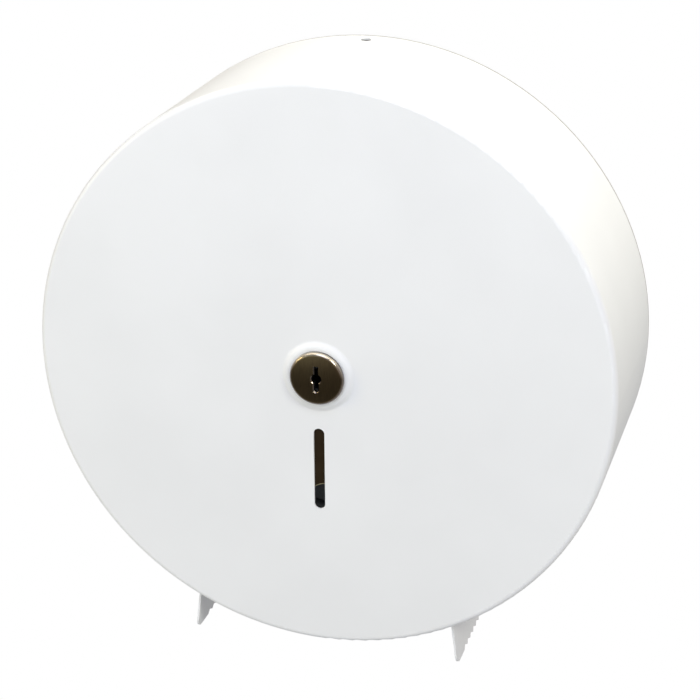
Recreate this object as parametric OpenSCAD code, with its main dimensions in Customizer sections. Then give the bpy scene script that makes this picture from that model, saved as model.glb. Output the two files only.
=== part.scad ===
// Jumbo toilet roll dispenser: a pressed steel drum cover with a centre lock,
// a back plate that screws to the wall, and a hub that the roll turns on.
// The origin is the centre of the wall screws, on the wall. +Z is up and the front faces -Y.

/* [Drum cover] */
// Outside diameter of the drum
cover_d = 305; // [285:1:330]
// Depth of the drum, from its rear edge to its front face
cover_depth = 102; // [94:1:120]
// Thickness of the drum's sheet
cover_sheet = 1; // [0.8:0.1:1.4]
// Outside radius of the drum's front edge
front_edge_r = 3; // [2:0.5:4]
// Gap between the drum's rear edge and the wall
wall_gap = 1; // [0.5:0.5:2]
// Diameter of the hanging hole at the top of the side wall
hanging_hole_d = 5; // [4:0.5:7]
// Distance from the drum's rear edge to the middle of the hanging hole
hanging_hole_inset = 10; // [5:0.5:12]

/* [Lock boss] */
// Diameter of the flat top of the pressed boss
boss_top_d = 30; // [29:0.5:33]
// Diameter of the foot of the pressed boss
boss_foot_d = 39; // [36:0.5:44]
// Radius of the hollow at the foot of the boss
boss_foot_r = 2.7; // [1:0.1:4]
// Height of the pressed boss
boss_rise = 1.5; // [1:0.1:2.5]

/* [Level slot and window] */
// Width of the level slot
slot_w = 5.8; // [4:0.1:8]
// Length of the level slot
slot_l = 45.5; // [30:0.5:55]
// Distance from the drum's axis down to the slot's top end
slot_drop = 29; // [28.5:0.5:34]
// Width of the window strip
window_w = 20; // [18:1:26]
// Thickness of the window strip
window_t = 2; // [1.5:0.1:3]
// Height of window strip above the slot's top end
window_head = 11; // [10:0.5:11.5]
// Length of the slot that the window strip covers
window_cover_l = 32; // [20:0.5:40]
// Radius of the hollow cut in the window strip's lower end
window_cut_r = 10; // [8:0.5:16]
// Sideways distance from the slot to the middle of that hollow
window_cut_x = 3.4; // [0:0.1:5]
// Diameter of the studs that hold the window strip
stud_d = 3; // [2.5:0.5:4]
// Distance between the two studs
stud_spacing = 12; // [11:0.5:14]
// Distance from the slot's top end up to the studs
stud_rise = 6; // [5:0.5:7]
// Diameter of the push nuts on the studs
push_nut_d = 7; // [6.5:0.5:8]
// Thickness of the push nuts on the studs
push_nut_t = 0.8; // [0.5:0.1:1.2]

/* [Paper outlet and tear tabs] */
// Width of the outlet, between the bends of the two tabs
outlet_w = 143.4; // [110:0.1:160]
// Distance from the drum's front face back to the outlet
outlet_front_inset = 4.5; // [4.5:0.5:8]
// Distance from the drum's rear edge forward to the outlet
outlet_rear_inset = 17; // [16:0.5:24]
// Inside radius of the bend of a tab
tab_bend_r = 2; // [1.5:0.1:3]
// Angle between a tab and the vertical
tab_splay = 7; // [0:0.5:12]
// Length of the relief slit at each end of a tab's bend
tab_relief = 0.8; // [0.5:0.1:1.5]
// Height of a tab below its bend
tab_drop = 23; // [18:0.5:30]
// Radius of a tab's lower front corner
tab_corner_r = 5.5; // [2:0.5:8]
// Plain length at the front of a tab, before its teeth
tab_plain_l = 16.5; // [9:0.5:25]
// Plain length at the rear of a tab, behind its teeth
tab_tail_l = 3; // [2:0.5:8]
// Distance from tooth to tooth
tooth_pitch = 6.7; // [5:0.1:9]
// Depth of the teeth
tooth_depth = 2.2; // [1.5:0.1:3]
// Length of the steep flank of a tooth along the edge
tooth_steep_l = 1.8; // [0.8:0.1:2.5]

/* [Back plate] */
// Thickness of the back plate's sheet
plate_t = 1.2; // [1:0.1:2]
// Depth of the back plate's rim
rim_depth = 14; // [12:0.5:15]
// Outside radius of the bend between plate and rim
plate_edge_r = 4; // [3:0.5:5]
// Gap all round between the rim and the drum
rim_gap = 0.6; // [0.4:0.1:1]
// Height of the stiffening beads
bead_r = 3; // [2.5:0.5:4]
// Radius of the inner stiffening bead
inner_bead_at = 62; // [58:1:66]
// Radius of the outer stiffening bead
outer_bead_at = 128; // [124:1:130]
// Diameter of the wall screw holes
screw_hole_d = 5.5; // [4.5:0.1:7]
// Sideways distance between the wall screw holes
screw_spacing_x = 160; // [150:1:170]
// Upright distance between the wall screw holes
screw_spacing_z = 120; // [110:1:130]
// Diameter of the locating pegs on the rim
peg_d = 4; // [3:0.5:5]
// Distance from the wall to the middle of the locating pegs
peg_at = 7; // [6:0.5:8]
// Angle of the locating pegs from straight down
peg_angle = 40; // [35:1:60]
// Gap all round a locating peg in its notch
peg_gap = 0.3; // [0.2:0.1:0.5]
// Diameter of a locating peg's head, inside the rim
peg_head_d = 6; // [5:0.5:6]
// Thickness of a locating peg's head
peg_head_t = 1.5; // [1:0.1:2]

/* [Spindle] */
// Outside diameter of the spindle tube
spindle_d = 32; // [30:0.5:34]
// Wall of the spindle tube
spindle_wall = 2; // [1.8:0.1:2.2]
// Diameter of the spindle's foot
foot_d = 72; // [68:1:80]
// Thickness of the spindle's foot
foot_t = 2; // [1.5:0.1:3]
// Height of the weld fillet between tube and foot
weld_r = 1.5; // [1:0.1:2]
// Number of rivets through the foot
rivet_count = 4; // [3:1:6]
// Diameter of the circle of rivets
rivet_circle_d = 58; // [56:0.5:60]
// Diameter of the rivets
rivet_d = 4.8; // [4:0.1:5]
// Diameter of the rivet heads
rivet_head_d = 8; // [7:0.5:8.5]
// Height of the rivet heads
rivet_head_h = 1.6; // [1:0.1:1.8]
// Thickness of the keeper plate in the spindle's front end
keeper_t = 2.5; // [2:0.1:3]
// Gap all round the lock bar in the keeper plate's slot
keeper_gap = 0.6; // [0.4:0.1:0.7]
// Thickness of the retaining ring on the spindle
ring_t = 1.5; // [1.2:0.1:1.7]
// Width of the retaining ring outside the spindle
ring_proud = 2.6; // [2:0.1:3]
// Depth of the retaining ring's groove
ring_groove = 0.8; // [0.5:0.1:1]
// Angle of the retaining ring's open side
ring_mouth = 50; // [40:1:70]
// Distance from the ring's groove to the spindle's front end
ring_inset = 1.7; // [1.5:0.1:2]

/* [Roll hub] */
// Diameter of the hub's sleeve, which the roll's core turns with
hub_d = 55; // [53:0.5:60]
// Wall of the hub's sleeve
hub_wall = 2.2; // [1.8:0.1:2.6]
// Wall of the hub's inner tube
hub_tube_wall = 2.6; // [2:0.1:2.8]
// Diameter of the hub's rear flange
hub_flange_d = 96; // [80:1:110]
// Thickness of the hub's rear flange
hub_flange_t = 3; // [2.5:0.1:4]
// Width of the chamfer at the sleeve's front end
hub_chamfer = 1.4; // [0.8:0.1:1.6]
// Number of webs between sleeve and inner tube
web_count = 6; // [3:1:8]
// Thickness of the webs
web_t = 2.4; // [1.6:0.1:3]
// Distance that the webs stop short of the hub's front end
web_inset = 4; // [2:0.5:8]
// Length of a bush's sleeve
bush_l = 14; // [10:0.5:20]
// Wall of a bush's sleeve
bush_wall = 2; // [1.5:0.1:2.4]
// Diameter of a bush's flange
bush_flange_d = 42; // [40.5:0.5:43]
// Thickness of a bush's flange
bush_flange_t = 1.5; // [1:0.1:2]
// Outside diameter of the two hub washers
hub_washer_d = 43; // [41:0.5:44]
// Thickness of the two hub washers
hub_washer_t = 1; // [0.8:0.1:1.2]

/* [Lock] */
// Diameter of the lock's face
lock_face_d = 28.5; // [27:0.1:29]
// Thickness of the lock's face, in front of the boss
lock_face_t = 2.8; // [2.4:0.1:3.5]
// Radius of the edge of the lock's face
lock_edge_r = 1.8; // [0.8:0.1:2.2]
// Thickness of the web that the keyhole is cut through
face_web_t = 1.6; // [1.2:0.1:2]
// Diameter of the lock's barrel
barrel_d = 19; // [18.5:0.1:19.5]
// Width across the two flats of the barrel
barrel_flats = 16.4; // [15.6:0.1:17]
// Length of the barrel behind the lock's face
barrel_l = 22; // [20:0.5:24]
// Gap all round the barrel in the cover
barrel_gap = 0.15; // [0.1:0.05:0.3]
// Width across the flats of the lock nut
nut_flats = 24; // [23:0.5:25]
// Thickness of the lock nut
nut_t = 5; // [4:0.5:6]
// Diameter of the washer under the lock nut
lock_washer_d = 26; // [24:0.5:28]
// Thickness of the washer under the lock nut
lock_washer_t = 1; // [0.8:0.1:1.5]
// Diameter of the rotor
rotor_d = 13; // [12:0.1:13.2]
// Diameter of the rotor's neck
neck_d = 8; // [7.5:0.1:8.4]
// Thickness of the ring that holds the rotor in the barrel
rotor_ring_t = 1; // [0.8:0.1:1.2]
// Depth of the groove for that ring
rotor_ring_groove = 0.5; // [0.3:0.1:0.6]
// Distance from the barrel's rear end to the groove
rotor_ring_inset = 2.5; // [2:0.1:3.5]

/* [Keyway] */
// Diameter of the round middle of the keyhole
key_hole_d = 5; // [4.5:0.1:5.5]
// Width of the keyhole's upper slot
key_top_w = 1.8; // [1.4:0.1:2.2]
// Reach of the keyhole's upper slot above the middle
key_top_reach = 7; // [5:0.1:8]
// Width of the keyhole's lower slot
key_low_w = 2.4; // [2:0.1:4.2]
// Reach of the keyhole's lower slot below the middle
key_low_reach = 7.1; // [5:0.1:8]
// Width of the bevel round the keyhole
key_bevel = 0.5; // [0.3:0.1:0.6]
// Wall of the rotor outside its keyway
keyway_wall = 1; // [0.5:0.1:1.5]
// Depth of the keyway in the rotor
keyway_depth = 11; // [8:0.5:13]

/* [Lock bar] */
// Length of the lock bar
bar_l = 23; // [21:0.5:24]
// Width of the lock bar
bar_w = 8; // [7.5:0.1:9]
// Thickness of the lock bar
bar_t = 3; // [2:0.1:4]
// Gap between the lock bar and the keeper plate
bar_clearance = 0.8; // [0.5:0.1:1.2]
// Width of the rotor's square tail
tail_w = 5.6; // [5:0.1:5.6]
// Diameter of the lock bar's screw
bar_screw_d = 3; // [2.5:0.5:3.5]
// Length of the lock bar's screw in the rotor
bar_screw_l = 9; // [7:0.5:10]
// Diameter of the screw's head
bar_head_d = 6; // [5.5:0.1:7]
// Height of the screw's head
bar_head_h = 2.2; // [1.8:0.1:2.6]
// Diameter of the washer under the screw's head
bar_washer_d = 9; // [8:0.5:11]
// Thickness of the washer under the screw's head
bar_washer_t = 0.8; // [0.5:0.1:1.2]

/* [Fits] */
// Gap between two still faces that meet
seat_gap = 0.05; // [0.02:0.01:0.1]
// Gap at the end faces of a turning piece
end_gap = 0.3; // [0.2:0.05:0.5]
// Gap all round a shaft that turns in its hole
running_gap = 0.05; // [0.02:0.01:0.1]

/* [Hidden] */

$fn = 96;
big_fn = 240;
overlap = 1;

cover_r = cover_d / 2;
front_z = wall_gap + cover_depth;
boss_z = front_z + boss_rise;
inner_front_z = front_z - cover_sheet;
inner_boss_z = boss_z - cover_sheet;
boss_run = (boss_foot_d - boss_top_d) / 2;
boss_blend = (boss_rise * boss_rise + boss_run * boss_run) / (2 * boss_rise);
boss_hollow_r = min(boss_foot_r, boss_blend / 2);
boss_shoulder_r = boss_blend - boss_hollow_r;

slot_top_y = -slot_drop;
stud_y = slot_top_y + stud_rise;
window_top_y = slot_top_y + window_head;
window_front_z = inner_front_z - seat_gap;
window_back_z = window_front_z - window_t;
window_cut_y = slot_top_y - window_cover_l - sqrt(window_cut_r * window_cut_r - window_cut_x * window_cut_x);
window_low_y = slot_top_y - window_cover_l - slot_w;

outlet_z0 = wall_gap + outlet_rear_inset;
outlet_z1 = front_z - outlet_front_inset;
tab_l = outlet_z1 - outlet_z0 - 2 * tab_relief;
outlet_angle = asin(outlet_w / cover_d);
tab_bend_angle = 90 - outlet_angle + tab_splay;
tab_bend_x = (cover_r + tab_bend_r) * sin(outlet_angle);
tab_bend_y = -(cover_r + tab_bend_r) * cos(outlet_angle);
tooth_count = floor((tab_l - tab_plain_l - tab_tail_l) / tooth_pitch);

plate_r = cover_r - cover_sheet - rim_gap;
foot_z = plate_t + seat_gap;
foot_top_z = foot_z + foot_t;
spindle_r = spindle_d / 2;
spindle_bore_r = spindle_r - spindle_wall;
barrel_end_z = boss_z - barrel_l;
spindle_end_z = barrel_end_z - end_gap;
keeper_z = spindle_end_z - keeper_t;
ring_z = spindle_end_z - ring_inset - ring_t;

washer_bore_r = spindle_r + 2 * running_gap;
back_washer_z = foot_top_z + seat_gap;
hub_z0 = back_washer_z + hub_washer_t + end_gap + bush_flange_t;
front_washer_z = ring_z - seat_gap - hub_washer_t;
hub_z1 = front_washer_z - end_gap - bush_flange_t;
bush_bore_r = spindle_r + running_gap;
bush_r = bush_bore_r + bush_wall;
hub_bore_r = bush_r + seat_gap;
hub_tube_r = hub_bore_r + hub_tube_wall;
hub_r = hub_d / 2;

lock_z = boss_z + seat_gap;
lock_front_z = lock_z + lock_face_t;
web_back_z = lock_front_z - face_web_t;
lock_washer_z = inner_boss_z - seat_gap - lock_washer_t;
nut_z = lock_washer_z - seat_gap - nut_t;
nut_bore_r = barrel_d / 2 + seat_gap;
rotor_bore_r = rotor_d / 2 + running_gap;
rotor_ring_z = barrel_end_z + rotor_ring_inset;
rotor_back_z = rotor_ring_z + rotor_ring_t + seat_gap;
rotor_front_z = web_back_z - seat_gap;
neck_gap = 0.3;
bar_front_z = keeper_z - bar_clearance;
bar_back_z = bar_front_z - bar_t;
tail_end_z = bar_back_z + seat_gap;
bar_washer_z = bar_back_z - seat_gap - bar_washer_t;
head_z = bar_washer_z - seat_gap - bar_head_h;

// Turns pieces drawn with the wall at z = 0 and the room at +z into the dispenser's own frame
module on_wall() {
    rotate([90, 0, 0]) children();
}

module tube(r, bore_r, z0, z1) {
    translate([0, 0, z0]) difference() {
        cylinder(r = r, h = z1 - z0);
        translate([0, 0, -overlap]) cylinder(r = bore_r, h = z1 - z0 + 2 * overlap);
    }
}

module both_sides() {
    children();
    mirror([1, 0, 0]) children();
}

// Half section of a round can with a rounded edge at its far end
module can_section(r, z0, z1, edge_r) {
    translate([0, z0]) square([r, z1 - z0 - edge_r]);
    translate([0, z0]) square([r - edge_r, z1 - z0]);
    intersection() {
        translate([r - edge_r, z1 - edge_r]) circle(r = edge_r);
        translate([0, z0]) square([r + overlap, z1 - z0 + overlap]);
    }
}

// Half section of the boss: a round shoulder at the top runs into a hollow at the foot
module boss_section(inset) {
    shoulder_r = boss_shoulder_r - inset;
    hollow_r = boss_hollow_r + inset;
    lean = boss_run / boss_blend;
    top_r = boss_top_d / 2;
    top_z = boss_z - inset;
    turn_r = top_r + shoulder_r * lean;
    turn_z = boss_z - boss_shoulder_r + shoulder_r * sqrt(1 - lean * lean);
    base_z = front_z - inset - overlap / 2;
    translate([0, base_z]) square([top_r, top_z - base_z]);
    intersection() {
        translate([top_r, boss_z - boss_shoulder_r]) circle(r = shoulder_r);
        translate([0, base_z]) square([turn_r, boss_rise + overlap]);
    }
    difference() {
        translate([0, base_z]) square([boss_foot_d / 2, turn_z - base_z]);
        translate([boss_foot_d / 2, front_z + boss_hollow_r]) circle(r = hollow_r);
    }
}

module drum_section(inset, z0) {
    can_section(cover_r - inset, z0, front_z - inset, front_edge_r - inset);
    boss_section(inset);
}

module slot_outline() {
    slot_r = slot_w / 2;
    translate([-slot_r, slot_top_y - slot_l + slot_r]) square([slot_w, slot_l - slot_w]);
    translate([0, slot_top_y - slot_r]) circle(r = slot_r);
    translate([0, slot_top_y - slot_l + slot_r]) circle(r = slot_r);
}

module barrel_outline(gap) {
    intersection() {
        circle(d = barrel_d + 2 * gap);
        square([barrel_flats + 2 * gap, barrel_d + 2 * gap + overlap], center = true);
    }
}

// Wedge of the side wall between the two tabs
module outlet_cut() {
    reach = cover_r + overlap;
    wedge_y = -reach;
    wedge_x = reach * tan(outlet_angle);
    translate([0, 0, outlet_z0]) linear_extrude(height = outlet_z1 - outlet_z0)
        polygon([[0, 0], [wedge_x, wedge_y], [-wedge_x, wedge_y]]);
}

function arc_points(centre, r, from_angle, turn, steps) = [
    for (i = [0:steps])
        centre + r * [cos(from_angle + turn * i / steps), sin(from_angle + turn * i / steps)]
];

function reversed(points) = [
    for (i = [len(points) - 1:-1:0]) points[i]
];

function tooth_points() = [
    for (i = [0:tooth_count - 1], step = [0:1])
        [-tab_plain_l - i * tooth_pitch - (step == 0 ? tooth_steep_l : tooth_pitch), step == 0 ? tooth_depth : 0]
];

// A tab seen from the front: the bend out of the side wall, then straight down to the edge
module tab_profile() {
    bend_steps = 14;
    centre = [tab_bend_x, tab_bend_y];
    start = 90 + outlet_angle;
    hollow_side = arc_points(centre, tab_bend_r, start, tab_bend_angle, bend_steps);
    round_side = arc_points(centre, tab_bend_r + cover_sheet, start, tab_bend_angle, bend_steps);
    drop = tab_drop * [sin(tab_splay), -cos(tab_splay)];
    polygon(concat(
        hollow_side,
        [hollow_side[bend_steps] + drop, round_side[bend_steps] + drop],
        reversed(round_side)
    ));
}

// What is cut from a tab's lower edge: x runs along the drum from the tab's front, y up from its lowest edge
module tab_edge_cut() {
    corner_steps = 8;
    cut_h = max(tab_corner_r, tooth_depth) + overlap;
    difference() {
        translate([-tab_l - overlap, -overlap]) square([tab_l + 2 * overlap, cut_h + overlap]);
        polygon(concat(
            [[-tab_l - 2 * overlap, 0], [-tab_l - 2 * overlap, cut_h + overlap]],
            [[2 * overlap, cut_h + overlap], [2 * overlap, tab_corner_r]],
            arc_points([-tab_corner_r, tab_corner_r], tab_corner_r, 0, -90, corner_steps),
            [[-tab_plain_l, 0]],
            tooth_points()
        ));
    }
}

module tear_tab() {
    tab_z1 = outlet_z1 - tab_relief;
    difference() {
        translate([0, 0, tab_z1 - tab_l]) linear_extrude(height = tab_l) tab_profile();
        translate([tab_bend_x, tab_bend_y, tab_z1]) rotate([0, 0, tab_splay])
            translate([overlap - tab_bend_r, -tab_drop, 0]) rotate([0, -90, 0])
            linear_extrude(height = cover_sheet + 2 * overlap) tab_edge_cut();
    }
}

module peg_notch() {
    notch_w = peg_d + 2 * peg_gap;
    rotate([0, 0, peg_angle - 180]) translate([0, cover_r, 0]) {
        translate([-notch_w / 2, -2 * cover_sheet, 0]) cube([notch_w, 4 * cover_sheet, peg_at]);
        translate([0, 2 * cover_sheet, peg_at]) rotate([90, 0, 0]) cylinder(d = notch_w, h = 4 * cover_sheet);
    }
}

module cover_shell() {
    color("white") on_wall() {
        difference() {
            rotate_extrude($fn = big_fn) difference() {
                drum_section(0, wall_gap);
                drum_section(cover_sheet, wall_gap - overlap);
            }
            translate([0, 0, inner_boss_z - overlap]) linear_extrude(height = cover_sheet + 2 * overlap)
                barrel_outline(barrel_gap);
            translate([0, 0, inner_front_z - overlap]) linear_extrude(height = cover_sheet + 2 * overlap)
                slot_outline();
            translate([0, cover_r + overlap, wall_gap + hanging_hole_inset]) rotate([90, 0, 0])
                cylinder(d = hanging_hole_d, h = cover_sheet + 3 * overlap);
            outlet_cut();
            both_sides() peg_notch();
        }
        both_sides() tear_tab();
    }
}

module at_studs() {
    both_sides() translate([stud_spacing / 2, stud_y, 0]) children();
}

module level_window() {
    color("saddlebrown") on_wall() difference() {
        translate([-window_w / 2, window_low_y, window_back_z])
            cube([window_w, window_top_y - window_low_y, window_t]);
        translate([window_cut_x, window_cut_y, window_back_z - overlap])
            cylinder(r = window_cut_r, h = window_t + 2 * overlap);
        translate([0, 0, window_back_z - overlap]) at_studs()
            cylinder(d = stud_d + 2 * seat_gap, h = window_t + 2 * overlap);
    }
}

module window_studs() {
    stud_l = window_t + 3 * push_nut_t + seat_gap;
    color("silver") on_wall() at_studs() translate([0, 0, inner_front_z - stud_l])
        cylinder(d = stud_d, h = stud_l);
}

module window_push_nuts() {
    crown_d = (push_nut_d + stud_d) / 2;
    color("dimgray") on_wall() at_studs() translate([0, 0, window_back_z - seat_gap - push_nut_t]) difference() {
        union() {
            cylinder(d = push_nut_d, h = push_nut_t);
            translate([0, 0, -push_nut_t / 2]) cylinder(d = crown_d, h = push_nut_t);
        }
        translate([0, 0, -overlap]) cylinder(d = stud_d + 2 * seat_gap, h = push_nut_t + 2 * overlap);
    }
}

// Half section of a ridge pressed up from the plate's back
module bead_section(at, r) {
    translate([at, 0]) circle(r = r);
}

module pan_section(inset, z1) {
    pan_r = plate_r - inset;
    edge_r = plate_edge_r - inset;
    translate([0, inset + edge_r]) square([pan_r, z1 - inset - edge_r]);
    translate([0, inset]) square([pan_r - edge_r, z1 - inset]);
    translate([pan_r - edge_r, inset + edge_r]) circle(r = edge_r);
}

module plate_section() {
    sheet_reach = outer_bead_at + 2 * bead_r;
    difference() {
        union() {
            difference() {
                pan_section(0, rim_depth);
                pan_section(plate_t, rim_depth + overlap);
            }
            intersection() {
                union() {
                    bead_section(inner_bead_at, bead_r);
                    bead_section(outer_bead_at, bead_r);
                }
                square([sheet_reach, bead_r]);
            }
        }
        bead_section(inner_bead_at, bead_r - plate_t);
        bead_section(outer_bead_at, bead_r - plate_t);
    }
}

module at_screws() {
    for (sx = [-1, 1], sy = [-1, 1])
        translate([sx * screw_spacing_x / 2, sy * screw_spacing_z / 2, 0]) children();
}

module at_rivets() {
    for (i = [0:rivet_count - 1])
        rotate([0, 0, 45 + 360 * i / rivet_count]) translate([rivet_circle_d / 2, 0, 0]) children();
}

module peg_hole_place() {
    rotate([0, 0, peg_angle - 180]) translate([0, plate_r, peg_at]) rotate([-90, 0, 0]) children();
}

module back_plate() {
    rivet_hole_d = rivet_d + 2 * seat_gap;
    color("dimgray") on_wall() difference() {
        rotate_extrude($fn = big_fn) plate_section();
        translate([0, 0, -overlap]) {
            at_screws() cylinder(d = screw_hole_d, h = plate_t + 2 * overlap);
            at_rivets() cylinder(d = rivet_hole_d, h = plate_t + 2 * overlap);
        }
        both_sides() peg_hole_place() translate([0, 0, -2 * plate_t])
            cylinder(d = peg_d + 2 * seat_gap, h = 4 * plate_t);
    }
}

module locating_pegs() {
    peg_proud = rim_gap + cover_sheet / 2;
    color("silver") on_wall() both_sides() peg_hole_place() {
        translate([0, 0, -plate_t - peg_head_t]) cylinder(d = peg_d, h = plate_t + peg_head_t + peg_proud);
        translate([0, 0, -plate_t - seat_gap - peg_head_t]) cylinder(d = peg_head_d, h = peg_head_t);
    }
}

module spindle_post() {
    foot_r = foot_d / 2;
    fillet_r = spindle_r + weld_r;
    fillet_z = foot_top_z + weld_r;
    color("silver") on_wall() difference() {
        rotate_extrude() difference() {
            union() {
                translate([0, foot_z]) square([foot_r, foot_t]);
                translate([0, foot_z]) square([spindle_r, spindle_end_z - foot_z]);
            }
            translate([0, foot_top_z + seat_gap]) square([spindle_bore_r, spindle_end_z]);
            translate([spindle_r - ring_groove, ring_z - seat_gap]) square([spindle_r, ring_t + 2 * seat_gap]);
        }
        at_rivets() translate([0, 0, foot_z - overlap])
            cylinder(d = rivet_d + 2 * seat_gap, h = foot_t + 2 * overlap);
    }
}

module spindle_rivets() {
    dome_r = (rivet_head_d * rivet_head_d / 4 + rivet_head_h * rivet_head_h) / (2 * rivet_head_h);
    head_z0 = foot_top_z + seat_gap;
    color("silver") on_wall() at_rivets() {
        translate([0, 0, 0]) cylinder(d = rivet_d, h = head_z0);
        intersection() {
            translate([0, 0, head_z0 + rivet_head_h - dome_r]) sphere(r = dome_r);
            translate([0, 0, head_z0]) cylinder(d = rivet_head_d, h = rivet_head_h);
        }
    }
}

module keeper_plate() {
    slot_h = bar_l + 2 * keeper_gap;
    slot_across = bar_w + 2 * keeper_gap;
    color("silver") on_wall() translate([0, 0, keeper_z]) difference() {
        cylinder(r = spindle_bore_r - seat_gap, h = keeper_t);
        translate([-slot_across / 2, -slot_h / 2, -overlap]) cube([slot_across, slot_h, keeper_t + 2 * overlap]);
    }
}

module hub_back_washer() {
    color("ivory") on_wall()
        tube(hub_washer_d / 2, washer_bore_r, back_washer_z, back_washer_z + hub_washer_t);
}

module hub_front_washer() {
    color("silver") on_wall()
        tube(hub_washer_d / 2, washer_bore_r, front_washer_z, front_washer_z + hub_washer_t);
}

module hub_ring() {
    ring_bore_r = spindle_r - ring_groove + seat_gap;
    ring_r = spindle_r + ring_proud;
    mouth_reach = 2 * ring_r;
    lug_r = 2.2;
    lug_hole_r = 0.9;
    lug_at = spindle_r + lug_r;
    lug_angle = ring_mouth / 2 + 4;
    color("dimgray") on_wall() translate([0, 0, ring_z]) linear_extrude(height = ring_t) difference() {
        union() {
            difference() {
                circle(r = ring_r);
                polygon([
                    [0, 0],
                    mouth_reach * [sin(ring_mouth / 2), -cos(ring_mouth / 2)],
                    mouth_reach * [-sin(ring_mouth / 2), -cos(ring_mouth / 2)]
                ]);
            }
            for (side = [-1, 1]) translate(lug_at * [sin(side * lug_angle), -cos(lug_angle)]) circle(r = lug_r);
        }
        circle(r = ring_bore_r);
        for (side = [-1, 1]) translate(lug_at * [sin(side * lug_angle), -cos(lug_angle)]) circle(r = lug_hole_r);
    }
}

module roll_hub() {
    flange_edge_r = hub_flange_t / 2;
    sleeve_bore_r = hub_r - hub_wall;
    web_z1 = hub_z1 - web_inset;
    web_r0 = hub_bore_r + hub_tube_wall / 2;
    web_r1 = hub_r - hub_wall / 2;
    color("darkslategray") on_wall() {
        rotate_extrude() {
            translate([hub_bore_r, hub_z0]) square([hub_flange_d / 2 - flange_edge_r - hub_bore_r, hub_flange_t]);
            translate([hub_flange_d / 2 - flange_edge_r, hub_z0 + flange_edge_r]) circle(r = flange_edge_r);
            translate([hub_bore_r, hub_z0]) square([hub_tube_wall, hub_z1 - hub_z0]);
            polygon([
                [sleeve_bore_r, hub_z0],
                [hub_r, hub_z0],
                [hub_r, hub_z1 - hub_chamfer],
                [hub_r - hub_chamfer, hub_z1],
                [sleeve_bore_r, hub_z1]
            ]);
        }
        for (i = [0:web_count - 1]) rotate([0, 0, 360 * i / web_count])
            translate([web_r0, -web_t / 2, hub_z0]) cube([web_r1 - web_r0, web_t, web_z1 - hub_z0]);
    }
}

// A flanged bush, with its flange below z = 0
module hub_bush() {
    difference() {
        union() {
            cylinder(r = bush_r, h = bush_l);
            translate([0, 0, -bush_flange_t]) cylinder(d = bush_flange_d, h = bush_flange_t - seat_gap);
            translate([0, 0, -bush_flange_t]) cylinder(r = bush_r, h = bush_flange_t + overlap);
        }
        translate([0, 0, -bush_flange_t - overlap])
            cylinder(r = bush_bore_r, h = bush_l + bush_flange_t + 2 * overlap);
    }
}

module hub_rear_bush() {
    color("beige") on_wall() translate([0, 0, hub_z0]) hub_bush();
}

module hub_front_bush() {
    color("beige") on_wall() translate([0, 0, hub_z1]) mirror([0, 0, 1]) hub_bush();
}

// The keyhole's outline in the lock's face, a round middle with a narrow slot above and a wide one below
module keyhole_outline() {
    low_r = key_low_w / 2;
    circle(d = key_hole_d);
    translate([-key_top_w / 2, 0]) square([key_top_w, key_top_reach]);
    translate([-low_r, low_r - key_low_reach]) square([key_low_w, key_low_reach - low_r]);
    translate([0, low_r - key_low_reach]) circle(r = low_r);
}

// The keyway's outline in the rotor, a round middle with a narrow slot above and below
module keyway_outline() {
    slot_half_l = rotor_d / 2 - keyway_wall;
    circle(d = key_hole_d);
    translate([-key_top_w / 2, -slot_half_l]) square([key_top_w, 2 * slot_half_l]);
}

// A cone that bevels the front edge of a round hole
module bevel_cone(hole_r) {
    translate([0, 0, lock_front_z - 2 * key_bevel])
        cylinder(r1 = hole_r - key_bevel, r2 = hole_r + 2 * key_bevel, h = 3 * key_bevel);
}

// A wedge that bevels the front edges of a slot between two heights
module bevel_wedge(slot_half, low_y, high_y) {
    foot = slot_half - key_bevel;
    head = slot_half + 2 * key_bevel;
    translate([0, high_y, lock_front_z - 2 * key_bevel]) rotate([90, 0, 0])
        linear_extrude(height = high_y - low_y)
            polygon([[-foot, 0], [foot, 0], [head, 3 * key_bevel], [-head, 3 * key_bevel]]);
}

// The bevel all round the keyhole's front edge
module keyhole_bevel() {
    low_r = key_low_w / 2;
    bevel_cone(key_hole_d / 2);
    bevel_wedge(key_top_w / 2, 0, key_top_reach);
    bevel_wedge(low_r, low_r - key_low_reach, 0);
    translate([0, low_r - key_low_reach, 0]) bevel_cone(low_r);
}

module lock_housing() {
    groove_r = rotor_bore_r + rotor_ring_groove;
    color("darkgoldenrod") on_wall() difference() {
        union() {
            rotate_extrude() can_section(lock_face_d / 2, lock_z, lock_front_z, lock_edge_r);
            translate([0, 0, barrel_end_z]) linear_extrude(height = lock_z - barrel_end_z + overlap)
                barrel_outline(0);
        }
        translate([0, 0, barrel_end_z - overlap]) cylinder(r = rotor_bore_r, h = web_back_z - barrel_end_z + overlap);
        translate([0, 0, rotor_ring_z - seat_gap]) cylinder(r = groove_r, h = rotor_ring_t + 2 * seat_gap);
        translate([0, 0, web_back_z - overlap]) linear_extrude(height = face_web_t + 2 * overlap) keyhole_outline();
        keyhole_bevel();
    }
}

module lock_washer() {
    color("silver") on_wall()
        tube(lock_washer_d / 2, nut_bore_r, lock_washer_z, lock_washer_z + lock_washer_t);
}

module lock_nut() {
    nut_r = nut_flats / (2 * cos(30));
    color("silver") on_wall() translate([0, 0, nut_z]) difference() {
        cylinder(r = nut_r, h = nut_t, $fn = 6);
        translate([0, 0, -overlap]) cylinder(r = nut_bore_r, h = nut_t + 2 * overlap);
    }
}

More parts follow.
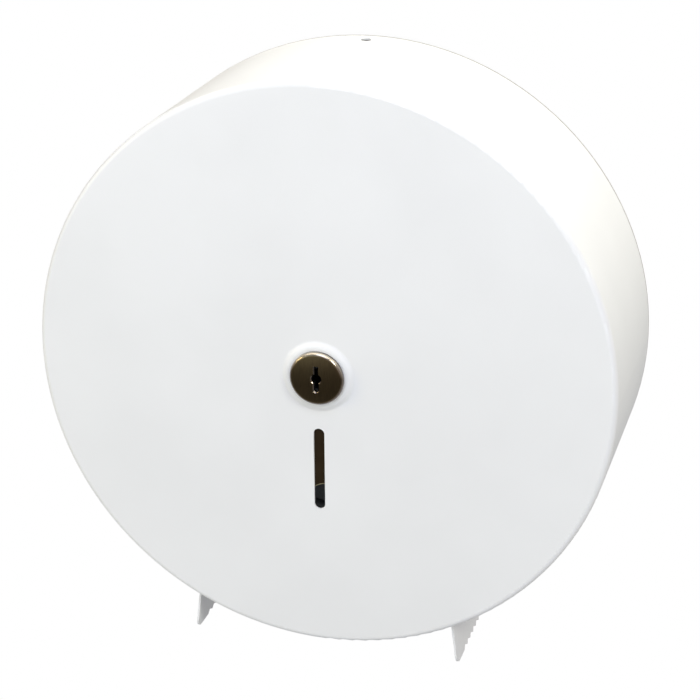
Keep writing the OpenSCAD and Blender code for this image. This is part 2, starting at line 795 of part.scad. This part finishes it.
module rotor_ring() {
    ring_out_r = rotor_bore_r + rotor_ring_groove - seat_gap;
    ring_in_r = neck_d / 2 + neck_gap;
    mouth_w = 2;
    color("dimgray") on_wall() translate([0, 0, rotor_ring_z]) difference() {
        cylinder(r = ring_out_r, h = rotor_ring_t);
        translate([0, 0, -overlap]) cylinder(r = ring_in_r, h = rotor_ring_t + 2 * overlap);
        translate([-mouth_w / 2, -ring_out_r - overlap, -overlap])
            cube([mouth_w, ring_out_r + overlap, rotor_ring_t + 2 * overlap]);
    }
}

module lock_rotor() {
    screw_hole_depth = bar_screw_l + overlap;
    color("dimgray") on_wall() difference() {
        union() {
            translate([0, 0, rotor_back_z]) cylinder(d = rotor_d, h = rotor_front_z - rotor_back_z);
            translate([0, 0, bar_front_z + seat_gap])
                cylinder(d = neck_d, h = rotor_back_z - bar_front_z - seat_gap + overlap);
            translate([-tail_w / 2, -tail_w / 2, tail_end_z]) cube([tail_w, tail_w, bar_t + overlap]);
        }
        translate([0, 0, rotor_front_z - keyway_depth]) linear_extrude(height = keyway_depth + overlap)
            keyway_outline();
        translate([0, 0, tail_end_z - overlap])
            cylinder(d = bar_screw_d + 2 * seat_gap, h = screw_hole_depth + overlap);
    }
}

module lock_bar() {
    hole_w = tail_w + 2 * seat_gap;
    color("silver") on_wall() translate([0, 0, bar_back_z]) difference() {
        intersection() {
            cylinder(d = bar_l, h = bar_t);
            translate([-bar_w / 2, -bar_l / 2 - overlap, 0]) cube([bar_w, bar_l + 2 * overlap, bar_t]);
        }
        translate([-hole_w / 2, -hole_w / 2, -overlap]) cube([hole_w, hole_w, bar_t + 2 * overlap]);
    }
}

module bar_washer() {
    color("silver") on_wall()
        tube(bar_washer_d / 2, bar_screw_d / 2 + seat_gap, bar_washer_z, bar_washer_z + bar_washer_t);
}

module bar_screw() {
    cross_w = 1;
    cross_l = bar_head_d * 0.6;
    color("silver") on_wall() difference() {
        union() {
            translate([0, 0, head_z]) cylinder(d = bar_head_d, h = bar_head_h);
            translate([0, 0, head_z]) cylinder(d = bar_screw_d, h = tail_end_z + bar_screw_l - head_z);
        }
        for (turn = [0, 90]) rotate([0, 0, turn])
            translate([-cross_l / 2, -cross_w / 2, head_z - overlap]) cube([cross_l, cross_w, bar_head_h / 2 + overlap]);
    }
}

back_plate();
locating_pegs();
spindle_post();
spindle_rivets();
keeper_plate();
hub_back_washer();
hub_front_washer();
hub_ring();
roll_hub();
hub_rear_bush();
hub_front_bush();
cover_shell();
level_window();
window_studs();
window_push_nuts();
lock_housing();
lock_washer();
lock_nut();
rotor_ring();
lock_rotor();
lock_bar();
bar_washer();
bar_screw();
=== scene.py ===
import math
import bpy
from mathutils import Matrix, Vector


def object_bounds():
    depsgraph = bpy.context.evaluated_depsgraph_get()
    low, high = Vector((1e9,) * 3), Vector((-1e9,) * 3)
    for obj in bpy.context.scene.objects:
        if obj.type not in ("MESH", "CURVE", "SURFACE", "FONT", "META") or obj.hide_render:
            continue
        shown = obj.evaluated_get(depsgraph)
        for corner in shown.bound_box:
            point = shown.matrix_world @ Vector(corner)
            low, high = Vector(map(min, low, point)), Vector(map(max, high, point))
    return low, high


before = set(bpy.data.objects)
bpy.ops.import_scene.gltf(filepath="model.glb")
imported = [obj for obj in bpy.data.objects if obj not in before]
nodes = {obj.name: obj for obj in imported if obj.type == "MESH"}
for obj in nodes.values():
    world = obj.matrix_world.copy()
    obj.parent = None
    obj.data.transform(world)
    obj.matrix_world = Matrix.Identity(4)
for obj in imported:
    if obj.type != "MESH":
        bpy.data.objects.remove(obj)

cadBox = [list(corner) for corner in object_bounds()]
mm = 0.001
print("stage: frame loaded,", len(nodes), "nodes")


def linearFromHex(hexColour):
    channels = [int(hexColour[i:i + 2], 16) / 255 for i in (1, 3, 5)]
    linear = [c / 12.92 if c <= 0.04045 else ((c + 0.055) / 1.055) ** 2.4 for c in channels]
    return (*linear, 1.0)


def addNode(tree, kind, links=None, **settings):
    node = tree.nodes.new(kind)
    for name, value in settings.items():
        if hasattr(node, name):
            setattr(node, name, value)
        else:
            node.inputs[name.replace("_", " ")].default_value = value
    for name, socket in (links or {}).items():
        tree.links.new(socket, node.inputs[name])
    return node


def newMaterial(name):
    material = bpy.data.materials.new(name)
    material.use_nodes = True
    material.node_tree.nodes.clear()
    return material, material.node_tree


def finishMaterial(tree, shader):
    addNode(tree, "ShaderNodeOutputMaterial", {"Surface": shader.outputs[0]})


def rampBetween(tree, factor, colours, span=(0.0, 1.0)):
    ramp = addNode(tree, "ShaderNodeValToRGB", {"Fac": factor})
    for element, colour, position in zip(ramp.color_ramp.elements, colours, span):
        element.position = position
        element.color = linearFromHex(colour) if isinstance(colour, str) else colour
    return ramp


def mixOver(tree, factor, under, colour):
    mix = addNode(tree, "ShaderNodeMix", {"Factor": factor}, data_type="RGBA")
    tree.links.new(under, mix.inputs["A"])
    mix.inputs["B"].default_value = linearFromHex(colour)
    return mix.outputs["Result"]


cameraView = {
    "azimuth": 16.367,     # degrees to the right of straight ahead
    "elevation": 21.853,   # degrees above the level
    "roll": -0.402,
    "distance": 1.04518,   # metres, from the point that it looks at
    "lens": 102.55,        # millimetres
    "aim": (0.00486, -0.062, -0.00096),
    "clipping": (0.01, 100),
}


def makeCamera(view):
    azimuth, elevation, roll = (math.radians(view[key]) for key in ("azimuth", "elevation", "roll"))
    back = Vector((math.sin(azimuth) * math.cos(elevation),
                   -math.cos(azimuth) * math.cos(elevation),
                   math.sin(elevation)))
    level = Vector((math.cos(azimuth), math.sin(azimuth), 0))
    upright = back.cross(level)
    right = level * math.cos(roll) + upright * math.sin(roll)
    up = back.cross(right)
    data = bpy.data.cameras.new("camera")
    data.lens = view["lens"]
    data.clip_start, data.clip_end = view["clipping"]
    camera = bpy.data.objects.new("camera", data)
    bpy.context.scene.collection.objects.link(camera)
    turned = Matrix((right, up, back)).transposed().to_4x4()
    camera.matrix_world = Matrix.Translation(Vector(view["aim"]) + back * view["distance"]) @ turned
    bpy.context.scene.camera = camera


makeCamera(cameraView)
bpy.context.scene.view_settings.view_transform = "Standard"

studio = {
    "groundColour": "#FBFDFF",
    "groundStrength": 0.495,
    "groundAt": 0.4,       # sine of the height, as a share of the way from straight down to up
    "horizonColour": "#FCF5F7",
    "horizonStrength": 0.67,
    "horizonAt": 0.5,
    "zenithColour": "#FFFFFF",
    "zenithStrength": 0.0,
    "zenithAt": 1.0,
}


def makeWorld():
    # A pale room, brightest at eye level and unlit overhead, where the soft lights hang
    world = bpy.data.worlds.new("paleStudio")
    world.use_nodes = True
    tree = world.node_tree
    tree.nodes.clear()
    direction = addNode(tree, "ShaderNodeTexCoord").outputs["Generated"]
    height = addNode(tree, "ShaderNodeSeparateXYZ", {"Vector": direction}).outputs["Z"]
    rise = addNode(tree, "ShaderNodeMapRange", {"Value": height}, From_Min=-1.0)
    ground, horizon, zenith = (
        [c * studio[part + "Strength"] for c in linearFromHex(studio[part + "Colour"])[:3]] + [1]
        for part in ("ground", "horizon", "zenith"))
    colour = rampBetween(tree, rise.outputs[0], (ground, zenith),
                         (studio["groundAt"], studio["zenithAt"]))
    colour.color_ramp.elements.new(studio["horizonAt"]).color = horizon
    glow = addNode(tree, "ShaderNodeBackground", {"Color": colour.outputs[0]}, Strength=1.0)
    addNode(tree, "ShaderNodeOutputWorld", {"Surface": glow.outputs[0]})
    bpy.context.scene.world = world


def makeSheet(name, materialName, sheet, corners):
    # One flat piece of paper that glows evenly
    material, tree = newMaterial(materialName)
    glow = addNode(tree, "ShaderNodeEmission", Color=linearFromHex(sheet["colour"]),
                   Strength=sheet["strength"])
    finishMaterial(tree, glow)
    mesh = bpy.data.meshes.new(name)
    mesh.from_pydata(corners, [], [(0, 1, 2, 3)])
    mesh.materials.append(material)
    paper = bpy.data.objects.new(name, mesh)
    bpy.context.scene.collection.objects.link(paper)
    return paper


paleFloor = {
    "colour": "#FFFFFF",
    "strength": 1.0,
    "width": 300.0,
    "gap": 0.5 * mm,       # below the lowest point of the object
}


def makeFloor():
    # A pale sweep that the object stands clear of; it shows, but throws no light up from below
    half = paleFloor["width"] / 2
    level = cadBox[0][2] - paleFloor["gap"]
    outline = ((-half, -half), (half, -half), (half, half), (-half, half))
    corners = [(x, y, level) for x, y in outline]
    floor = makeSheet("floor", "palePaperFloor", paleFloor, corners)
    floor.visible_diffuse = False
    floor.visible_glossy = False


cards = {
    "blackCard": {         # to the left, draws a thin dark line down the white drum's left edge
        "colour": "#050505",
        "strength": 1.0,
        "shades": True,    # False where it only shows in gloss, for the metal to mirror
        "corners": [(-0.45, 0, -0.45), (-0.45, 1.6, -0.45), (-0.45, 1.6, 0.14), (-0.45, 0, 0.14)],
    },
    "warmBoard": {         # dark, in front
        "colour": "#4E483F",
        "strength": 1.0,
        "shades": False,
        "corners": [(-1.6, -0.35, -0.3), (1.2, -0.35, -0.3), (1.2, -2.6, -0.3), (-1.6, -2.6, -0.3)],
    },
    "overheadSail": {      # bright
        "colour": "#FFF9EE",
        "strength": 3.0,
        "shades": False,
        "corners": [(-1.0, -0.45, 0.9), (1.0, -0.45, 0.9), (1.0, 0.7, 0.9), (-1.0, 0.7, 0.9)],
    },
}


def makeCard(name, card):
    paper = makeSheet(name, name + "Paper", card, card["corners"])
    paper.visible_camera = False
    paper.visible_diffuse = paper.visible_shadow = card["shades"]


softLights = {
    "overheadSoftbox": {
        "place": (0.35, 0.6, 1.2),
        "size": (0.8, 0.6),
        "power": 14.3,
        "colour": "#FFFFED",
    },
    "skylight": {
        "place": (0.05, -0.9, 1.25),
        "size": (0.8, 0.6),
        "power": 8.6,
        "colour": "#D2D6F2",
    },
    "frontFill": {
        "place": (-0.9, -1.7, 0.55),
        "size": (1.3, 1.3),
        "power": 9.4,
        "colour": "#DCF0F8",
    },
    "leftLamp": {
        "place": (-1.5, -0.8, 0.55),
        "size": (0.45, 0.45),
        "power": 7.2,
        "colour": "#FFEEB0",
    },
    "rightLamp": {
        "place": (1.1, -0.9, 1.0),
        "size": (0.4, 0.4),
        "power": 10.4,
        "colour": "#FDFFF4",
    },
}
lightAim = (0, -0.05, 0)   # near the middle of the drum


def makeLight(name, light):
    data = bpy.data.lights.new(name, "AREA")
    data.shape = "RECTANGLE"
    data.size, data.size_y = light["size"]
    data.energy = light["power"]
    data.color = linearFromHex(light["colour"])[:3]
    lamp = bpy.data.objects.new(name, data)
    bpy.context.scene.collection.objects.link(lamp)
    place = Vector(light["place"])
    lamp.location = place
    lamp.visible_camera = False
    lamp.rotation_mode = "QUATERNION"
    lamp.rotation_quaternion = (Vector(lightAim) - place).to_track_quat("-Z", "Y")


makeWorld()
makeFloor()
for cardName, cardValues in cards.items():
    makeCard(cardName, cardValues)
for lightName, lightValues in softLights.items():
    makeLight(lightName, lightValues)
print("stage: camera, floor and lights made")


whiteCoat = {
    "colour": "#F3F3F3",
    "shade": "#F0F0F0",
    "patchSize": 60 * mm,      # slow change of film thickness across the sheet
    "patchSpan": (0.35, 0.65),     # of the noise, over which shade turns to colour
    "roughness": (0.33, 0.39),
    "peelSize": 1.6 * mm,      # from crest to crest of the coat's orange peel
    "peelHeight": 0.004 * mm,
    "peelStrength": 0.35,
    "rearEdgeShade": "#A39E9B",     # painted shade: grey along the sheet's cut rear edge, for the dark outline there
    "rearShadeSpan": (-2.7 * mm, -2.0 * mm),
    "holeWallShade": "#1D1916",      # wall of the punched hanging hole, near black: painted shade in the hole
    "holeAt": (0, -12 * mm, 0),
    "holeRadius": 2.5 * mm,
    "holeShadeSpan": (0.1 * mm, 0.05 * mm),  # outside that radius, from no painted shade to all of it
}


def powderCoatedSteelWhite():
    # White polyester powder, sprayed and baked: an even satin white with a faint orange peel in
    # its gloss; painted shade, grey along the rear edge and near black in the hanging hole
    v = whiteCoat
    material, tree = newMaterial("powderCoatedSteelWhite")
    place = addNode(tree, "ShaderNodeTexCoord").outputs["Object"]
    patch = addNode(tree, "ShaderNodeTexNoise", {"Vector": place}, Scale=1 / v["patchSize"],
                    Detail=2.0)
    coat = rampBetween(tree, patch.outputs["Fac"], (v["shade"], v["colour"]), v["patchSpan"])
    depth = addNode(tree, "ShaderNodeSeparateXYZ", {"Vector": place}).outputs["Y"]
    # painted shade: the sheet turns grey over its last stretch towards the rear edge
    rearShade = addNode(tree, "ShaderNodeMapRange", {"Value": depth},
                   From_Min=v["rearShadeSpan"][0], From_Max=v["rearShadeSpan"][1])
    rear = mixOver(tree, rearShade.outputs[0], coat.outputs[0], v["rearEdgeShade"])
    level = addNode(tree, "ShaderNodeVectorMath", {0: place}, operation="MULTIPLY")
    level.inputs[1].default_value = (1, 1, 0)    # leaves the height out
    away = addNode(tree, "ShaderNodeVectorMath", {0: level.outputs[0]}, operation="DISTANCE")
    away.inputs[1].default_value = v["holeAt"]
    # painted shade: near black on the wall of the hanging hole
    holeShade = addNode(tree, "ShaderNodeMapRange", {"Value": away.outputs["Value"]},
                   From_Min=v["holeRadius"] + v["holeShadeSpan"][0],
                   From_Max=v["holeRadius"] + v["holeShadeSpan"][1])
    colour = mixOver(tree, holeShade.outputs[0], rear, v["holeWallShade"])
    peel = addNode(tree, "ShaderNodeTexNoise", {"Vector": place}, Scale=1 / v["peelSize"],
                   Detail=1.0, Roughness=0.4)
    bump = addNode(tree, "ShaderNodeBump", {"Height": peel.outputs["Fac"]},
                   Strength=v["peelStrength"], Distance=v["peelHeight"])
    gloss = addNode(tree, "ShaderNodeMapRange", {"Value": peel.outputs["Fac"]},
                    To_Min=v["roughness"][0], To_Max=v["roughness"][1])
    shader = addNode(tree, "ShaderNodeBsdfPrincipled",
                     {"Base Color": colour, "Normal": bump.outputs[0],
                      "Roughness": gloss.outputs[0]}, IOR=1.5)
    finishMaterial(tree, shader)
    return material


graphiteCoat = {
    "colour": "#4A4C4E",
    "shade": "#3F4143",
    "roughness": 0.5,
    "peelSize": 1.4 * mm,
    "peelSpan": (0.3, 0.7),
    "peelHeight": 0.006 * mm,
    "peelStrength": 0.5,
}


def powderCoatedSteelGraphite():
    # Graphite powder on the pressed back plate: a dull dark grey with a fine sandy peel
    v = graphiteCoat
    material, tree = newMaterial("powderCoatedSteelGraphite")
    place = addNode(tree, "ShaderNodeTexCoord").outputs["Object"]
    peel = addNode(tree, "ShaderNodeTexNoise", {"Vector": place}, Scale=1 / v["peelSize"],
                   Detail=2.0)
    colour = rampBetween(tree, peel.outputs["Fac"], (v["shade"], v["colour"]), v["peelSpan"])
    bump = addNode(tree, "ShaderNodeBump", {"Height": peel.outputs["Fac"]},
                   Strength=v["peelStrength"], Distance=v["peelHeight"])
    shader = addNode(tree, "ShaderNodeBsdfPrincipled",
                     {"Base Color": colour.outputs[0], "Normal": bump.outputs[0]},
                     Roughness=v["roughness"], IOR=1.5)
    finishMaterial(tree, shader)
    return material


zincPlate = {
    "colour": "#C9CCCB",
    "stain": "#B4B6AE",
    "cloudSize": 6 * mm,
    "cloudSpan": (0.35, 0.6),
    "roughness": (0.24, 0.46),
    "scratchSize": 0.5 * mm,
}


def zincPlatedSteel():
    # Bright zinc over drawn steel: cool grey metal, clouded by its passivation
    v = zincPlate
    material, tree = newMaterial("zincPlatedSteel")
    place = addNode(tree, "ShaderNodeTexCoord").outputs["Object"]
    cloud = addNode(tree, "ShaderNodeTexNoise", {"Vector": place}, Scale=1 / v["cloudSize"],
                    Detail=4.0)
    colour = rampBetween(tree, cloud.outputs["Fac"], (v["stain"], v["colour"]), v["cloudSpan"])
    grain = addNode(tree, "ShaderNodeTexNoise", {"Vector": place}, Scale=1 / v["scratchSize"],
                    Detail=3.0)
    gloss = addNode(tree, "ShaderNodeMapRange", {"Value": grain.outputs["Fac"]},
                    To_Min=v["roughness"][0], To_Max=v["roughness"][1])
    shader = addNode(tree, "ShaderNodeBsdfPrincipled",
                     {"Base Color": colour.outputs[0], "Roughness": gloss.outputs[0]}, Metallic=1.0)
    finishMaterial(tree, shader)
    return material


springSteel = {
    "colour": "#3A3B3D",
    "worn": "#6A6C6E",
    "scaleSize": 1.2 * mm,
    "wornSpan": (0.45, 0.8),
    "roughness": 0.38,
}


def blackenedSpringSteel():
    # Oil-blackened spring steel: near black, with a dull metal glint where the oxide is thin
    v = springSteel
    material, tree = newMaterial("blackenedSpringSteel")
    place = addNode(tree, "ShaderNodeTexCoord").outputs["Object"]
    oxide = addNode(tree, "ShaderNodeTexNoise", {"Vector": place}, Scale=1 / v["scaleSize"],
                    Detail=3.0)
    colour = rampBetween(tree, oxide.outputs["Fac"], (v["colour"], v["worn"]), v["wornSpan"])
    shader = addNode(tree, "ShaderNodeBsdfPrincipled", {"Base Color": colour.outputs[0]},
                     Metallic=1.0, Roughness=v["roughness"])
    finishMaterial(tree, shader)
    return material


acetal = {
    "colour": "#EFECE2",
    "shade": "#E4E0D3",
    "cloudSize": 8 * mm,
    "cloudSpan": (0.3, 0.7),
    "roughness": 0.42,
    "ringPitch": 2 * math.pi * 0.35 * mm,    # about six times the lathe's feed, to show
    "ringWander": 0.6,
    "ringHeight": 0.004 * mm,
    "ringStrength": 0.5,
}
wavePeriod = 2 * math.pi / 20  # of a wave texture at a scale of 1


def acetalTurned():
    # Natural acetal turned on a lathe: milky, waxy white with shallow tool rings round the
    # hub's axis
    v = acetal
    material, tree = newMaterial("acetalTurned")
    place = addNode(tree, "ShaderNodeTexCoord").outputs["Object"]
    cloud = addNode(tree, "ShaderNodeTexNoise", {"Vector": place}, Scale=1 / v["cloudSize"],
                    Detail=2.0)
    colour = rampBetween(tree, cloud.outputs["Fac"], (v["shade"], v["colour"]), v["cloudSpan"])
    rings = addNode(tree, "ShaderNodeTexWave", {"Vector": place}, wave_type="BANDS",
                    bands_direction="Y", Scale=wavePeriod / v["ringPitch"],
                    Distortion=v["ringWander"])
    bump = addNode(tree, "ShaderNodeBump", {"Height": rings.outputs["Fac"]},
                   Strength=v["ringStrength"], Distance=v["ringHeight"])
    shader = addNode(tree, "ShaderNodeBsdfPrincipled",
                     {"Base Color": colour.outputs[0], "Normal": bump.outputs[0]},
                     Roughness=v["roughness"], IOR=1.48)
    finishMaterial(tree, shader)
    return material


hubPlastic = {
    "colour": "#2C2E31",
    "shade": "#25272A",
    "flowSize": 25 * mm,
    "flowSpan": (0.3, 0.7),
    "roughness": 0.48,
    "sparkSize": 0.5 * mm,     # twice the size of the mould's real grain, to show
    "sparkHeight": 0.01 * mm,
    "sparkStrength": 0.4,
}


def absMouldedCharcoal():
    # Charcoal ABS from a spark-eroded mould: satin, with a fine even grain
    v = hubPlastic
    material, tree = newMaterial("absMouldedCharcoal")
    place = addNode(tree, "ShaderNodeTexCoord").outputs["Object"]
    spark = addNode(tree, "ShaderNodeTexVoronoi", {"Vector": place}, Scale=1 / v["sparkSize"])
    flow = addNode(tree, "ShaderNodeTexNoise", {"Vector": place}, Scale=1 / v["flowSize"],
                   Detail=2.0)
    colour = rampBetween(tree, flow.outputs["Fac"], (v["shade"], v["colour"]), v["flowSpan"])
    bump = addNode(tree, "ShaderNodeBump", {"Height": spark.outputs["Distance"]},
                   Strength=v["sparkStrength"], Distance=v["sparkHeight"])
    shader = addNode(tree, "ShaderNodeBsdfPrincipled",
                     {"Base Color": colour.outputs[0], "Normal": bump.outputs[0]},
                     Roughness=v["roughness"], IOR=1.54)
    finishMaterial(tree, shader)
    return material


smokedStrip = {
    "colour": "#33281B",
    "shade": "#2A2014",
    "hazeSize": 9 * mm,
    "hazeSpan": (0.3, 0.8),
    "roughness": 0.08,
    # painted highlight: the pale line on the strip's cut end
    "edge": "#8A8266",
    "hollowAt": (3.4 * mm, 0, -70.404 * mm),   # middle of the round cut in the strip's lower end
    "hollowRadius": 10 * mm,
    "highlightSpan": (0.55 * mm, 0.3 * 0.55 * mm),  # outside that round, from no painted highlight to all of it
}


def acrylicBronzeSmoked():
    # Cast acrylic tinted bronze, flame-polished: almost black under a hard gloss, with a painted
    # highlight, a pale line, on its cut end
    v = smokedStrip
    material, tree = newMaterial("acrylicBronzeSmoked")
    place = addNode(tree, "ShaderNodeTexCoord").outputs["Object"]
    haze = addNode(tree, "ShaderNodeTexNoise", {"Vector": place}, Scale=1 / v["hazeSize"],
                   Detail=2.0)
    body = rampBetween(tree, haze.outputs["Fac"], (v["shade"], v["colour"]), v["hazeSpan"])
    flat = addNode(tree, "ShaderNodeVectorMath", {0: place}, operation="MULTIPLY")
    flat.inputs[1].default_value = (1, 0, 1)     # leaves the depth out
    reach = addNode(tree, "ShaderNodeVectorMath", {0: flat.outputs[0]}, operation="DISTANCE")
    reach.inputs[1].default_value = v["hollowAt"]
    # painted highlight: a pale line round the cut end
    endHighlight = addNode(tree, "ShaderNodeMapRange", {"Value": reach.outputs["Value"]},
                     From_Min=v["hollowRadius"] + v["highlightSpan"][0],
                     From_Max=v["hollowRadius"] + v["highlightSpan"][1])
    colour = mixOver(tree, endHighlight.outputs[0], body.outputs[0], v["edge"])
    shader = addNode(tree, "ShaderNodeBsdfPrincipled", {"Base Color": colour},
                     Roughness=v["roughness"], IOR=1.49)
    finishMaterial(tree, shader)
    return material


bronzePlate = {
    "face": "#6A5B40",
    "faceDark": "#504431",
    "brushWidth": 0.12 * mm,    # across one brush line
    "brushRun": 6 * mm,         # along it
    "brushSpan": (0.3, 0.7),
    "brushHeight": 0.01 * mm,
    "brushStrength": 0.3,
    "edge": "#65574A",
    "edgeLean": (0.97, 0.86),   # how far a surface faces to the front, from the face to its edge
    "upEdgeHighlight": "#BFB4A2",      # painted highlight: pale on the edges that face up
    "upEdgeHighlightRise": (0.1, 0.7),     # how far an edge faces up, from no painted highlight to all of it
    "upEdgeHighlightReach": (0.45, 0.75),  # the same, by the square of its share of the face's radius
    "keyholeHighlight": 0.12,      # what is left of the painted highlight further in
    "wall": "#3C2C22",
    "wallLean": (0.15, 0.02),   # the same, from its edge to its side wall
    "roughness": 0.36,
    "rubbedRoughness": 0.22,
    "lacquer": 0.8,
    "lacquerRoughness": 0.12,
    "domeRise": 1.2 * mm,       # how far the polishing rounds the face over, from middle to edge
    "domeRadius": 13.5 * mm,
}


def antiqueBronzePlated():
    # Zinc casting plated and oxidised to antique bronze, then lacquered: a brushed dark face and
    # brown polished edges, painted pale as a highlight where they face up
    v = bronzePlate
    material, tree = newMaterial("antiqueBronzePlated")
    coordinates = addNode(tree, "ShaderNodeTexCoord")
    place = coordinates.outputs["Object"]
    stretched = addNode(tree, "ShaderNodeMapping", {"Vector": place},
                        Scale=(1 / v["brushWidth"], 1 / v["brushRun"], 1 / v["brushRun"]))
    brush = addNode(tree, "ShaderNodeTexNoise", {"Vector": stretched.outputs[0]}, Scale=1.0,
                    Detail=3.0)
    face = rampBetween(tree, brush.outputs["Fac"], (v["faceDark"], v["face"]), v["brushSpan"])
    facing = addNode(tree, "ShaderNodeSeparateXYZ", {"Vector": coordinates.outputs["Normal"]})
    lean = addNode(tree, "ShaderNodeMath", {0: facing.outputs["Y"]}, operation="ABSOLUTE")
    rubbedAndHighlit = addNode(tree, "ShaderNodeMapRange", {"Value": lean.outputs[0]},
                     From_Min=v["edgeLean"][0], From_Max=v["edgeLean"][1])
    wall = addNode(tree, "ShaderNodeMapRange", {"Value": lean.outputs[0]},
                   From_Min=v["wallLean"][0], From_Max=v["wallLean"][1])
    flat = addNode(tree, "ShaderNodeVectorMath", {0: place}, operation="MULTIPLY")
    flat.inputs[1].default_value = (1 / v["domeRadius"], 0, 1 / v["domeRadius"])
    reach = addNode(tree, "ShaderNodeVectorMath", {0: flat.outputs[0], 1: flat.outputs[0]},
                    operation="DOT_PRODUCT")
    # painted highlight: pale where an edge faces up, fainter towards the keyhole
    upward = addNode(tree, "ShaderNodeMapRange", {"Value": facing.outputs["Z"]},
                     From_Min=v["upEdgeHighlightRise"][0], From_Max=v["upEdgeHighlightRise"][1])
    rim = addNode(tree, "ShaderNodeMapRange", {"Value": reach.outputs["Value"]},
                  From_Min=v["upEdgeHighlightReach"][0], From_Max=v["upEdgeHighlightReach"][1],
                  To_Min=v["keyholeHighlight"])
    paintedHighlight = addNode(tree, "ShaderNodeMath", {0: upward.outputs[0], 1: rim.outputs[0]},
                     operation="MULTIPLY")
    trim = rampBetween(tree, paintedHighlight.outputs[0], (v["edge"], v["upEdgeHighlight"]))
    edge = addNode(tree, "ShaderNodeMix", {"Factor": rubbedAndHighlit.outputs[0]}, data_type="RGBA")
    tree.links.new(face.outputs[0], edge.inputs["A"])
    tree.links.new(trim.outputs[0], edge.inputs["B"])
    colour = mixOver(tree, wall.outputs[0], edge.outputs["Result"], v["wall"])
    gloss = addNode(tree, "ShaderNodeMapRange", {"Value": rubbedAndHighlit.outputs[0]},
                    To_Min=v["roughness"], To_Max=v["rubbedRoughness"])
    dome = addNode(tree, "ShaderNodeMath", {0: reach.outputs["Value"]}, operation="MULTIPLY")
    dome.inputs[1].default_value = -1            # lower towards the edge
    domed = addNode(tree, "ShaderNodeBump", {"Height": dome.outputs[0]}, Strength=1.0,
                    Distance=v["domeRise"])
    lines = addNode(tree, "ShaderNodeBump",
                    {"Height": brush.outputs["Fac"], "Normal": domed.outputs[0]},
                    Strength=v["brushStrength"], Distance=v["brushHeight"])
    shader = addNode(tree, "ShaderNodeBsdfPrincipled",
                     {"Base Color": colour, "Normal": lines.outputs[0],
                      "Roughness": gloss.outputs[0]}, Metallic=1.0,
                     Coat_Weight=v["lacquer"], Coat_Roughness=v["lacquerRoughness"])
    finishMaterial(tree, shader)
    return material


rotorMetal = {
    "colour": "#4C4E52",
    "dark": "#36383C",
    "cloudSize": 2 * mm,
    "cloudSpan": (0.3, 0.7),
    "roughness": 0.42,
}


def blackenedBrass():
    # Turned brass, chemically blackened: a dark neutral metal at the bottom of the keyhole
    v = rotorMetal
    material, tree = newMaterial("blackenedBrass")
    place = addNode(tree, "ShaderNodeTexCoord").outputs["Object"]
    cloud = addNode(tree, "ShaderNodeTexNoise", {"Vector": place}, Scale=1 / v["cloudSize"],
                    Detail=3.0)
    colour = rampBetween(tree, cloud.outputs["Fac"], (v["dark"], v["colour"]), v["cloudSpan"])
    shader = addNode(tree, "ShaderNodeBsdfPrincipled", {"Base Color": colour.outputs[0]},
                     Metallic=1.0, Roughness=v["roughness"])
    finishMaterial(tree, shader)
    return material


finishes = {
    powderCoatedSteelWhite: ["cover_shell"],
    powderCoatedSteelGraphite: ["back_plate"],
    zincPlatedSteel: ["locating_pegs", "spindle_post", "spindle_rivets", "keeper_plate",
                      "hub_front_washer", "window_studs", "lock_washer", "lock_nut", "lock_bar",
                      "bar_washer", "bar_screw"],
    blackenedSpringSteel: ["hub_ring", "window_push_nuts", "rotor_ring"],
    acetalTurned: ["hub_back_washer", "hub_rear_bush", "hub_front_bush"],
    absMouldedCharcoal: ["roll_hub"],
    acrylicBronzeSmoked: ["level_window"],
    antiqueBronzePlated: ["lock_housing"],
    blackenedBrass: ["lock_rotor"],
}
for makeMaterial, nodeNames in finishes.items():
    material = makeMaterial()
    for nodeName in nodeNames:
        mesh = nodes[nodeName].data
        mesh.materials.clear()
        mesh.materials.append(material)
print("stage: materials made")
